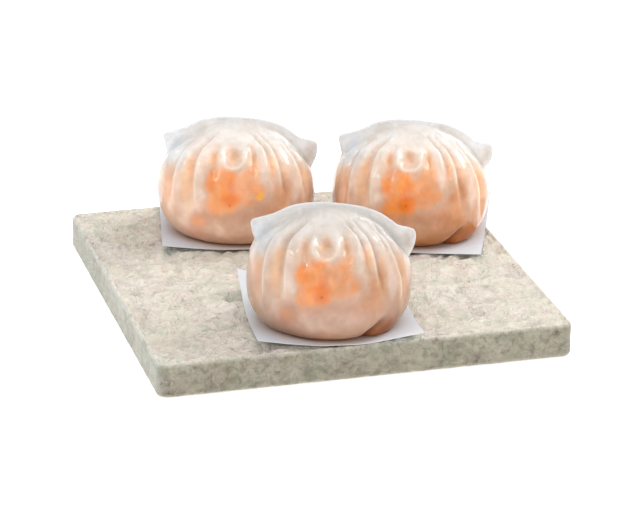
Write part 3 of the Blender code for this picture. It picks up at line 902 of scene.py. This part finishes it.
def fold_relief(along, level):
    """Depth of the folds in mm and, beside each fold, the raised lip of its pleat."""
    groove = np.zeros_like(level)
    lip = np.zeros_like(level)
    for place, _, depth, foot_level, _, half_width, top_level in FOLDS:
        closing = 1.0 - ease(level, top_level - FOLD_CLOSING, top_level)
        closing = closing * (1.0 - FOLD_SHALLOW_LOSS * ease(level, *FOLD_SHALLOWS))
        opening = ease(level, foot_level, foot_level + FOLD_OPENING)
        groove += depth * opening * closing * bell(along - place, half_width)
        lip_opening = ease(level, foot_level + LIP_START, foot_level + LIP_FULL)
        lip_place = place - math.copysign(LIP_OFFSET, place)
        lip += lip_opening * closing * bell(along - lip_place, LIP_HALF_WIDTH)
    return groove, lip


def loop_relief(points):
    """Ridge of the open loop, round like a U, and the dimple inside it."""
    x = points[..., 0] - LOOP_CENTRE[0]
    y = (points[..., 1] + points[..., 2]) / math.sqrt(2.0) - LOOP_CENTRE[1]
    distance = np.where(
        y > 0.0, np.abs(np.abs(x) - LOOP_RADIUS), np.abs(np.hypot(x, y) - LOOP_RADIUS))
    ridge = bell(distance, LOOP_HALF_WIDTH) * (1.0 - ease(y, *LOOP_FADE))
    dimple = bell(np.hypot(x, DIMPLE_FLATNESS * (y - DIMPLE_RAISE)), DIMPLE_HALF_WIDTH)
    return ridge, dimple


def past_lap(points):
    """How far a place lies past the lap's edge and above that edge's top, in mm."""
    edge = np.array(LAP_TOP) - np.array(LAP_FOOT)
    length = np.linalg.norm(edge)
    offset_x = points[..., 0] - LAP_FOOT[0]
    offset_z = points[..., 2] - LAP_FOOT[1]
    past_edge = (offset_x * edge[1] - offset_z * edge[0]) / length
    rise = (offset_x * edge[0] + offset_z * edge[1]) / length
    return past_edge, rise - length


def lap_strength(points):
    """How strongly the skin is set back beside the lap, which rises from the paper."""
    past_edge, above_top = past_lap(points)
    strength = ease(past_edge, 0.0, LAP_STEP) * (1.0 - ease(above_top, *LAP_FADE_UP))
    return strength * (1.0 - ease(points[..., 0], *LAP_FADE_RIGHT))


def tuck_shift(along, side, level, points, lap):
    """Sideways shift that sets the skin past the lap back and brings its foot out."""
    belly = creased_points(along, side, np.full_like(level, BELLY_LEVEL))
    patch = creased_points(along, side, np.full_like(level, PATCH_LEVEL))
    way_out = belly - patch
    way_out[..., 2] = 0.0
    length = np.maximum(np.linalg.norm(way_out, axis=-1, keepdims=True), TINY)
    x = belly[..., 0]
    window = ease(x, *TUCK_LEFT) * (1.0 - ease(x, *TUCK_RIGHT))
    window = window * np.where(side < 0, 1.0, 0.0)
    foot = np.where(level < PATCH_LEVEL, level, 1.0 - ease(level, *TUCK_LEVELS))
    fill = TUCK_FILL * window * foot
    return way_out * fill[..., None] - way_out / length * (LAP_DEPTH * lap)[..., None]


def row_levels():
    """Levels of the rings: close together where the pleats and the crest need them."""
    marks = (0.0, PATCH_LEVEL, BELLY_LEVEL, 2.35, 3.05, EDGE_LEVEL)
    rows_used = (0.0, 0.07, 0.27, 0.40, 0.85, 1.0)
    levels = np.interp(np.linspace(0.0, 1.0, ROWS), rows_used, marks)
    return np.append(levels, np.full(len(RIM_ANGLES), EDGE_LEVEL))


def close_rim(points, level):
    """Draw the crest in by its rim's radius, then close it with a half round rim."""
    edge = points[ROWS - 1].copy()
    way_up = edge - points[ROWS - 1 - RIM_SLOPE_ROWS]
    way_up[:, 1] = 0.0
    way_up /= np.maximum(np.linalg.norm(way_up, axis=1, keepdims=True), TINY)
    drawn_in = CREST_EDGE_HALF_THICKNESS * ease(level, *RIM_LEVELS)
    points -= drawn_in[..., None] * way_up
    middle = 0.5 * (edge + np.roll(edge[::-1], 1, axis=0))
    for order, degrees in enumerate(RIM_ANGLES):
        angle = math.radians(degrees)
        ring = points[ROWS - 1] + way_up * CREST_EDGE_HALF_THICKNESS * math.sin(angle)
        ring[:, 1] = middle[:, 1] + (edge[:, 1] - middle[:, 1]) * math.cos(angle)
        points[ROWS + order] = ring


# What shows through the skin of the pleated side, with some painted shade and painted light, as
# soft spots on its front view: x and z of the middle, half width, half height and strength
SPOTS = {
    "prawn": (
        (-7.2, 20.2, 1.9, 3.0, 0.95), (-5.0, 17.6, 1.4, 4.8, 0.70), (-2.6, 20.4, 2.3, 3.4, 0.95),
        (-1.9, 15.8, 3.1, 3.4, 0.95), (-7.2, 14.2, 1.7, 2.8, 0.60), (-4.8, 13.6, 1.8, 2.6, 0.45),
        (-3.2, 18.4, 4.4, 5.4, 0.50), (2.6, 20.2, 3.4, 3.0, 0.55), (5.6, 18.6, 2.6, 2.2, 0.50),
        (7.2, 17.0, 1.6, 1.6, 0.65), (2.2, 16.2, 2.2, 2.4, 0.40), (4.6, 22.6, 2.4, 2.0, 0.40),
        (-3.0, 23.4, 3.0, 1.2, 0.40), (4.6, 15.4, 2.0, 1.4, 0.30),
        (-11.4, 8.2, 2.0, 1.9, 0.30)),
    "deep_prawn": (
        (-1.9, 15.6, 2.5, 2.4, 0.85), (-1.5, 18.6, 1.2, 2.6, 0.50), (-7.0, 19.6, 1.2, 1.6, 0.25)),
    "peach": (
        (-13.9, 23.8, 1.5, 3.2, 0.90), (-14.7, 18.6, 1.8, 3.6, 0.60), (-6.8, 26.6, 1.2, 2.4, 0.90),
        (4.6, 27.0, 1.2, 2.6, 0.95), (5.6, 24.0, 1.2, 1.8, 0.70), (-1.2, 27.4, 1.6, 2.0, 1.0),
        (11.0, 24.2, 1.4, 3.2, 0.90), (14.4, 21.6, 1.0, 2.4, 0.60),
        (19.6, 19.5, 1.1, 3.2, 0.70), (20.4, 14.5, 1.2, 3.4, 0.50), (-20.0, 16.5, 1.2, 3.8, 0.30),
        (-19.5, 12.0, 1.4, 2.8, 0.25)),
    "ember": ((-1.9, 14.6, 0.36, 0.36, 0.8),),
    "tan": (
        (-0.5, 27.0, 1.3, 1.4, 0.85), (-6.6, 26.8, 0.7, 1.2, 0.35), (5.2, 26.0, 0.6, 1.6, 0.45),
        (13.6, 16.2, 2.6, 4.6, 1.0), (10.4, 12.8, 2.4, 2.4, 0.60), (12.8, 10.5, 2.4, 2.8, 0.50)),
    "rose": (
        (-12.0, 7.0, 4.6, 3.0, 0.40), (-10.0, 12.0, 2.3, 2.8, 0.30), (-4.0, 10.0, 4.0, 2.4, 0.30),
        (9.0, 9.0, 4.0, 2.6, 0.35), (-20.0, 15.5, 1.4, 5.0, 0.50), (1.5, 11.5, 3.0, 1.8, 0.20),
        (7.2, 12.6, 2.6, 1.8, 0.35)),
    # the last pale spot, low on the left flank, is painted light that lifts the shade there
    "pale": (
        (-11.5, 15.5, 2.0, 3.8, 0.50), (-11.0, 22.0, 1.5, 4.6, 0.70),
        (-17.5, 20.0, 1.3, 4.2, 0.50), (8.4, 23.5, 1.3, 3.6, 0.70), (13.2, 24.0, 1.1, 2.8, 0.45),
        (17.8, 17.0, 1.2, 4.6, 0.50), (1.0, 7.0, 9.0, 3.2, 0.22), (-6.0, 6.0, 4.0, 3.0, 0.20),
        (-10.2, 16.5, 1.3, 1.4, 0.50), (-16.8, 9.5, 3.4, 4.6, 0.40)),
    "frost": ((-20.0, 27.5, 5.0, 5.0, 1.0),),
    # painted shade on the right wing tip
    "right_wing_painted_shade": ((23.8, 24.0, 3.0, 4.0, 1.0),),
    # brown painted shade along the front of the base
    "brown_painted_shade": ((1.0, 0.5, 8.0, 0.9, 0.60),),
}
AMBER_SPOTS = ((7.1, 16.8, 1.2, 1.1, 0.9),)
# How torn the spots are: size and reach of the tears in mm, seed step, and the shares of a
# spot's half width where it begins and is full
TEAR_SIZE, TEAR_REACH, TEAR_SEED_STEP = 2.8, 0.55, 5.0
SPOT_EDGE = (1.5, 0.4)
# Fibres of the prawn: size in mm, stretch, and where and how much they weaken its colour
FIBRE_SIZE, FIBRE_STRETCH = 2.4, (1.0, 1.0, 0.5)
FIBRE_PAINT, FIBRE_STRENGTH, FIBRE_SEED_STEP = (-0.05, 0.45), 0.24, 4.0
# Where paint begins and is full: mm above the seam, or levels
CREST_PAINT, CREST_PAINT_LEVELS = (-1.5, 1.5), (2.7, 3.0)
MILK_PAINT, MILK_PAINT_LEVELS = (-7.0, -1.0), (2.3, 2.7)
# the crest's rim is painted darker, as painted shade
RIM_PAINT_LEVELS = (3.45, 3.90)
LOOP_PAINT_SHARE, LIP_PAINT_SHARE = 0.6, 0.65
# The brown painted shade on the foot past the lap, and the painted shadow along the lap's edge:
# x, z, level and place where it begins and is full, and how far past the lap its darkest part
# fades
BROWN_X, BROWN_Z = (22.0, 19.0), (7.4, 2.9)
BROWN_LEVELS, BROWN_PLACES = (0.9, 1.0), (0.97, 0.72)
LAP_SHADOW_FADE = (0.7, 2.5)


def spot_strength(points, spots, seed):
    """Strength of a set of soft spots with slightly torn outlines."""
    x = points[..., 0] + TEAR_REACH * lumps(points, TEAR_SIZE, seed)
    z = points[..., 2] + TEAR_REACH * lumps(points, TEAR_SIZE, seed + TEAR_SEED_STEP)
    clear = np.ones(x.shape)
    for middle_x, middle_z, half_width, half_height, strength in spots:
        reach = np.hypot((x - middle_x) / half_width, (z - middle_z) / half_height)
        clear *= 1.0 - strength * ease(reach, *SPOT_EDGE)
    return 1.0 - clear


def skin_grid():
    """Place round the belly, side and level of every point of the skin."""
    columns = np.arange(2 * COLUMNS)
    along_line = np.where(
        columns <= COLUMNS, -1.0 + 2.0 * columns / COLUMNS, 3.0 - 2.0 * columns / COLUMNS)
    side_line = np.where(columns <= COLUMNS, -1.0, 1.0)
    along, level = np.meshgrid(along_line, row_levels())
    return along, np.broadcast_to(side_line, along.shape), level


def pleat(plain, along, side, level, bulge, seed):
    """Fold, dimple and swell the plain skin. Gives its points and the reliefs to paint."""
    in_front = np.where(side < 0, 1.0, 0.0)
    fold, lip = (relief * in_front for relief in fold_relief(along, level))
    ridge, dimple = (relief * in_front for relief in loop_relief(plain))
    lap = lap_strength(plain) * in_front * np.where(level > PATCH_LEVEL, 1.0, 0.0)
    uneven = ease(level, *UNEVEN_FOOT) * (1.0 - UNEVEN_TOP_LOSS * ease(level, *UNEVEN_TOP))
    swell = lumps(plain, SKIN_SWELL_SIZE, seed)
    pucker = lumps(plain * np.array(PUCKER_STRETCH), PUCKER_SIZE, seed + PUCKER_SEED_STEP)
    height = LIP_RISE * lip - fold + LOOP_RISE * ridge - DIMPLE_DEPTH * dimple
    height += uneven * (SKIN_SWELL_HEIGHT * swell + PUCKER_HEIGHT * pucker)
    height *= 1.0 - ease(level, *RELIEF_END)
    points = plain + ring_normals(plain) * height[..., None]
    points += tuck_shift(along, side, level, plain, lap)
    points[..., 2] = np.where(level <= PATCH_LEVEL, 0.0, np.maximum(points[..., 2], 0.0))
    close_rim(points, level)
    points[..., 0] -= bulge * ease(-points[..., 0], *BULGE_LEFT) * bell(
        points[..., 2] - BELLY_HEIGHT, BULGE_HALF_HEIGHT)
    return points, fold, lip, ridge


def paint(plain, points, along, side, level, reliefs, amber, seed):
    """Masks, 0 to 1 on the skin's own points, for every colour that its material lays."""
    in_front = np.where(side < 0, 1.0, 0.0)
    fold, lip, ridge = reliefs
    above_seam = points[..., 2] - seam_height(points[..., 0])
    masks = {
        "rise": points[..., 2] / SEAM_HEIGHT,
        # painted shade towards the crest's rim
        "rim": ease(level, *RIM_PAINT_LEVELS),
        "crest": ease(above_seam, *CREST_PAINT) * ease(level, *CREST_PAINT_LEVELS),
        "milk": ease(above_seam, *MILK_PAINT) * ease(level, *MILK_PAINT_LEVELS),
        # fold tint: the orange of thin skin, partly painted light against the folds' shade
        "groove": np.clip(fold, 0.0, 1.0),
        # paler lips and loop: doubled skin, and partly a painted highlight
        "ridge": np.clip(LOOP_PAINT_SHARE * ridge + LIP_PAINT_SHARE * lip, 0.0, 1.0),
        "amber": spot_strength(points, AMBER_SPOTS, seed) * in_front * amber,
    }
    for order, (name, spots) in enumerate(SPOTS.items()):
        masks[name] = spot_strength(points, spots, seed + order) * in_front
    fibres = lumps(plain * np.array(FIBRE_STRETCH), FIBRE_SIZE, seed + FIBRE_SEED_STEP)
    masks["prawn"] *= 1.0 - FIBRE_STRENGTH * ease(fibres, *FIBRE_PAINT)
    # brown painted shade on the foot past the lap
    past_edge, _ = past_lap(points)
    painted_lap_shade = in_front * ease(past_edge, 0.0, LAP_STEP)
    painted_lap_shade *= ease(points[..., 0], *BROWN_X) * ease(points[..., 2], *BROWN_Z)
    painted_lap_shade *= ease(level, *BROWN_LEVELS) * ease(along, *BROWN_PLACES)
    masks["brown_painted_shade"] = np.maximum(masks["brown_painted_shade"], painted_lap_shade)
    # painted shadow, darkest at the lap's edge
    masks["lap_edge_painted_shadow"] = painted_lap_shade * (1.0 - ease(past_edge, *LAP_SHADOW_FADE))
    return masks


def make_dumpling(
        node, turn_degrees, width_share, height_share, bulge, amber, seed, material):
    deselect_all()
    bpy.ops.mesh.primitive_grid_add(
        x_subdivisions=2 * COLUMNS, y_subdivisions=len(row_levels()) - 1, size=2.0)
    dumpling = bpy.context.object
    dumpling.name = node.replace("dumpling", "har_gow")

    along, side, level = skin_grid()
    plain = skin_points(along, side, level)
    points, *reliefs = pleat(plain, along, side, level, bulge, seed)
    masks = paint(plain, points, along, side, level, reliefs, amber, seed)
    points = points * np.array((width_share, width_share, height_share))
    turn = np.array(Matrix.Rotation(math.radians(turn_degrees), 3, "Z"))
    points = (points @ turn.T + base_centre(node)) * MM

    # the grid's last column lies on its first, and the two are welded
    set_places(
        dumpling.data, np.concatenate((points, points[:, :1]), axis=1).reshape(-1, 3))
    for name, values in masks.items():
        closed = np.concatenate((values, values[:, :1]), axis=1)
        set_point_values(dumpling.data, name, closed.ravel())
    weld_and_face_out(dumpling, WELD_REACH * MM)
    put_on_frame(dumpling, node, material)


# ---- stage

def make_floor(material):
    deselect_all()
    bpy.ops.mesh.primitive_plane_add(size=FLOOR_SIDE)
    floor = bpy.context.object
    floor.name = "studio_floor"
    floor.data.materials.append(material)


def make_light():
    for name, place, size, energy, colour in SOFTBOXES:
        light = bpy.data.lights.new(name, "AREA")
        light.shape = "RECTANGLE" if size[0] != size[1] else "DISK"
        light.size, light.size_y = size
        light.energy = energy
        light.color = colour
        holder = bpy.data.objects.new(name, light)
        bpy.context.collection.objects.link(holder)
        holder.location = place
        aim = CAMERA_TARGET - Vector(place)
        holder.rotation_euler = aim.to_track_quat("-Z", "Y").to_euler()
    world = bpy.data.worlds.new("white_studio")
    world.use_nodes = True
    background = world.node_tree.nodes["Background"]
    background.inputs["Color"].default_value = (1.0, 1.0, 1.0, 1.0)
    background.inputs["Strength"].default_value = WORLD_STRENGTH
    bpy.context.scene.world = world
    bpy.context.scene.view_settings.view_transform = "Standard"


def make_camera():
    camera = bpy.data.objects.new("camera", bpy.data.cameras.new("camera"))
    bpy.context.collection.objects.link(camera)
    turn = (
        Matrix.Rotation(CAMERA_AZIMUTH, 4, "Z")
        @ Matrix.Rotation(math.pi / 2.0 - CAMERA_ELEVATION, 4, "X")
        @ Matrix.Rotation(CAMERA_ROLL, 4, "Z"))
    back = turn.to_3x3() @ Vector((0.0, 0.0, 1.0))
    camera.matrix_world = Matrix.Translation(CAMERA_TARGET + back * CAMERA_DISTANCE) @ turn
    camera.data.sensor_width = CAMERA_SENSOR
    camera.data.lens = CAMERA_LENS
    camera.data.clip_start = CAMERA_NEAR
    bpy.context.scene.camera = camera


make_camera()
make_light()
make_floor(floor_paper())
make_slab(limestone())
paper_material = greaseproof_paper()
for order, paper in enumerate(PAPERS):
    make_paper(*paper, PAPER_WAVE_SEED + order, paper_material)
for dumpling in DUMPLINGS:
    make_dumpling(*dumpling, starch_skin(*SKINS[dumpling[0]]))
